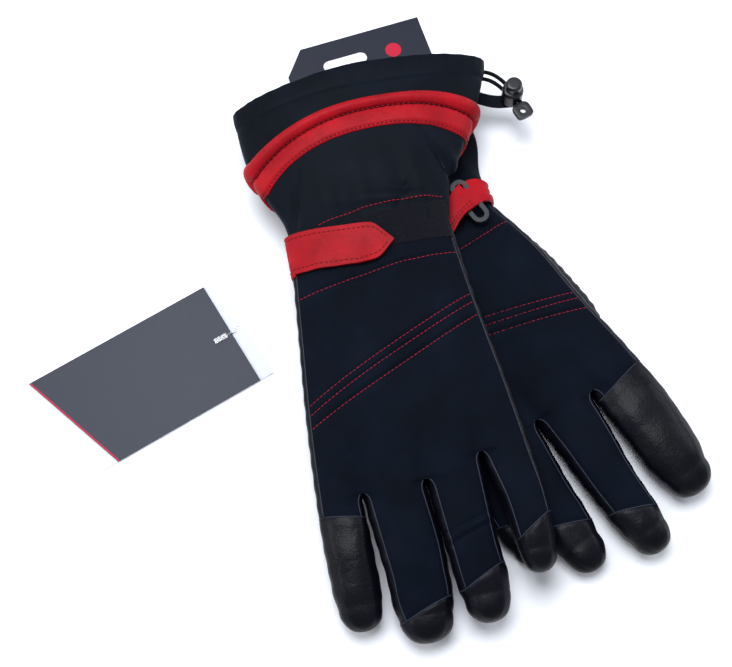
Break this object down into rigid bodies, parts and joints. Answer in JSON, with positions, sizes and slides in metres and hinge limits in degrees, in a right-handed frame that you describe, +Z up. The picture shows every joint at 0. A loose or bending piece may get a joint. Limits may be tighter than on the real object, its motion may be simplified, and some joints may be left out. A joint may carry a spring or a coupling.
{
  "type": "work gloves",
  "caption": "Pair of insulated gauntlet work gloves lying crossed, with wrist straps, drawcord cuff, header card and swing tag.",
  "frame": {"origin": "middle of the bounding box of the gloves, card and tag, on the surface they lie on", "axes": "+Z up, +Y away from the fingertips towards the cuffs, +X towards the right glove's fingers"},
  "size_m": [0.3817, 0.3854, 0.0541],
  "materials": {
    "softshell": "matt woven softshell",
    "black_leather": "soft sheen",
    "fleece_lining": "brushed",
    "black_nylon": "matt woven nylon",
    "red_leather": "soft sheen",
    "hook_and_loop": "fuzzy",
    "grey_plastic": "satin",
    "black_plastic": "satin",
    "elastic_cord": "braided",
    "spring_steel": "bright",
    "printed_card": "satin print",
    "white_card": "satin",
    "clear_plastic": "clear"
  },
  "bodies": {
    "right_glove": {"right_hand_back": "softshell", "right_palm": "black_leather", "right_lining": "fleece_lining", "right_thumb": "black_leather", "right_cuff_shell": "black_nylon", "right_cuff_band": "red_leather", "right_cuff_piping": "red_leather", "right_loop_patch": "hook_and_loop", "right_hook_patch": "hook_and_loop", "right_strap_tab": "red_leather", "right_strap_anchor": "red_leather", "right_strap_ring": "grey_plastic", "right_ring_tip": "black_leather", "right_little_tip": "black_leather"},
    "right_index": {"right_index_back": "black_leather", "right_index_under": "black_leather", "right_index_lining": "fleece_lining"},
    "right_middle": {"right_middle_back": "softshell", "right_middle_under": "black_leather", "right_middle_tip": "black_leather", "right_middle_lining": "fleece_lining"},
    "left_glove": {"left_hand_back": "softshell", "left_palm": "black_leather", "left_lining": "fleece_lining", "left_thumb": "black_leather", "left_cuff_shell": "black_nylon", "left_cuff_band": "red_leather", "left_cuff_piping": "red_leather", "left_loop_patch": "hook_and_loop", "left_strap_anchor": "red_leather", "left_strap_ring": "grey_plastic", "drawcord_upper": "elastic_cord", "drawcord_lower": "elastic_cord", "cord_tab": "black_plastic", "toggle_tape": "black_nylon"},
    "left_index": {"left_index_back": "black_leather", "left_index_under": "black_leather", "left_index_lining": "fleece_lining"},
    "left_middle": {"left_middle_back": "softshell", "left_middle_under": "black_leather", "left_middle_tip": "black_leather", "left_middle_lining": "fleece_lining"},
    "left_ring": {"left_ring_back": "softshell", "left_ring_under": "black_leather", "left_ring_tip": "black_leather", "left_ring_lining": "fleece_lining"},
    "left_little": {"left_little_back": "softshell", "left_little_under": "black_leather", "left_little_tip": "black_leather", "left_little_lining": "fleece_lining"},
    "left_strap": {"left_strap_tab": "red_leather", "left_hook_patch": "hook_and_loop"},
    "toggle": {"toggle_body": "black_plastic", "toggle_spring": "spring_steel"},
    "toggle_button": {"toggle_button": "black_plastic"},
    "header_card": {"header_card": "printed_card"},
    "tag_back": {"tag_back_leaf": "white_card"},
    "tag_front": {"tag_front_leaf": "printed_card", "tag_fastener": "clear_plastic"}
  },
  "joints": [
    {"name": "left_glove_lift", "type": "slide", "parent": "right_glove", "child": "left_glove", "axis": [0, 0, 1], "range_m": [0, 0.12]},
    {"name": "left_index_lift", "type": "hinge", "parent": "left_glove", "child": "left_index", "pos_m": [-0.00961, -0.1137, 0.028], "axis": [-0.9799, -0.1994, 0], "range_deg": [0, 35]},
    {"name": "left_middle_lift", "type": "hinge", "parent": "left_glove", "child": "left_middle", "pos_m": [0.01881, -0.10792, 0.032], "axis": [-0.9799, -0.1994, 0], "range_deg": [0, 35]},
    {"name": "left_ring_lift", "type": "hinge", "parent": "left_glove", "child": "left_ring", "pos_m": [0.05076, -0.10142, 0.036], "axis": [-0.9799, -0.1994, 0], "range_deg": [0, 35]},
    {"name": "left_little_lift", "type": "hinge", "parent": "left_glove", "child": "left_little", "pos_m": [0.07947, -0.09558, 0.04], "axis": [-0.9799, -0.1994, 0], "range_deg": [0, 35]},
    {"name": "right_index_lift", "type": "hinge", "parent": "right_glove", "child": "right_index", "pos_m": [0.13826, -0.04318, 0.026], "axis": [-0.8192, -0.5736, 0], "range_deg": [0, 35]},
    {"name": "right_middle_lift", "type": "hinge", "parent": "right_glove", "child": "right_middle", "pos_m": [0.11049, -0.06262, 0.0235], "axis": [-0.8192, -0.5736, 0], "range_deg": [0, 35]},
    {"name": "left_strap_peel", "type": "hinge", "parent": "left_glove", "child": "left_strap", "pos_m": [-0.02845, 0.01426, 0.04301], "axis": [0.1994, -0.9799, 0], "range_deg": [0, 150]},
    {"name": "toggle_slide", "type": "slide", "parent": "left_glove", "child": "toggle", "axis": [-0.4787, 0.878, 0], "range_m": [0, 0.005]},
    {"name": "button_press", "type": "slide", "parent": "toggle", "child": "toggle_button", "axis": [0, 0, -1], "range_m": [0, 0.002], "stiffness_N_per_m": 1500, "springref_m": -0.0002, "deforming": ["toggle_spring"]},
    {"name": "header_card_draw", "type": "slide", "parent": "right_glove", "child": "header_card", "axis": [-0.3123, 0.95, 0], "range_m": [0, 0.06]},
    {"name": "tag_lift", "type": "slide", "parent": "right_glove", "child": "tag_back", "axis": [0, 0, 1], "range_m": [0, 0.1]},
    {"name": "tag_leaf_open", "type": "hinge", "parent": "tag_back", "child": "tag_front", "pos_m": [-0.0882, 0.0087, 0.00075], "axis": [-0.8517, -0.524, 0], "range_deg": [0, 150]}
  ]
}
